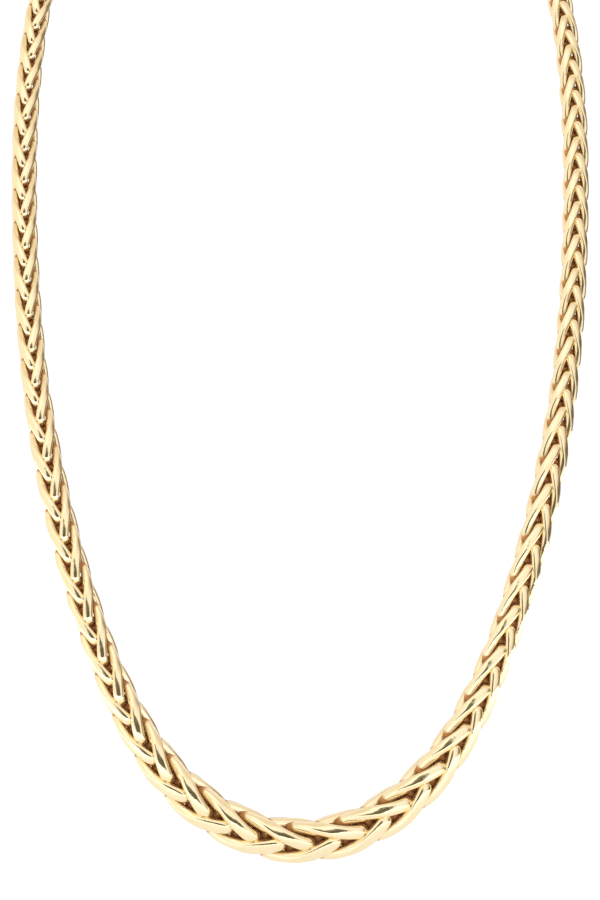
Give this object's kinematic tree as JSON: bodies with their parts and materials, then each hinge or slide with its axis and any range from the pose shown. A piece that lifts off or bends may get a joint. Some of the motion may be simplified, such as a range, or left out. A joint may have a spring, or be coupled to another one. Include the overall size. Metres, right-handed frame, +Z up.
{
  "type": "wheat chain necklace",
  "caption": "Graduated wheat chain necklace of twisted oval rings that interlock, widest at the front, closed at the nape by a plain barrel clasp.",
  "frame": {"origin": "the spot on the nape of the neck on which the middle of the clasp's underside rests", "axes": "+Z up, -Y towards the viewer, so that the chain hangs down and forward of the origin, and +X to the viewer's right"},
  "size_m": [0.093, 0.0846, 0.1628],
  "materials": {
    "gold": "polished yellow gold, with the dark of old polish in the depth of the weave"
  },
  "bodies": {
    "root": {"chain_left": "gold", "chain_right": "gold", "clasp": "gold"}
  },
  "joints": []
}
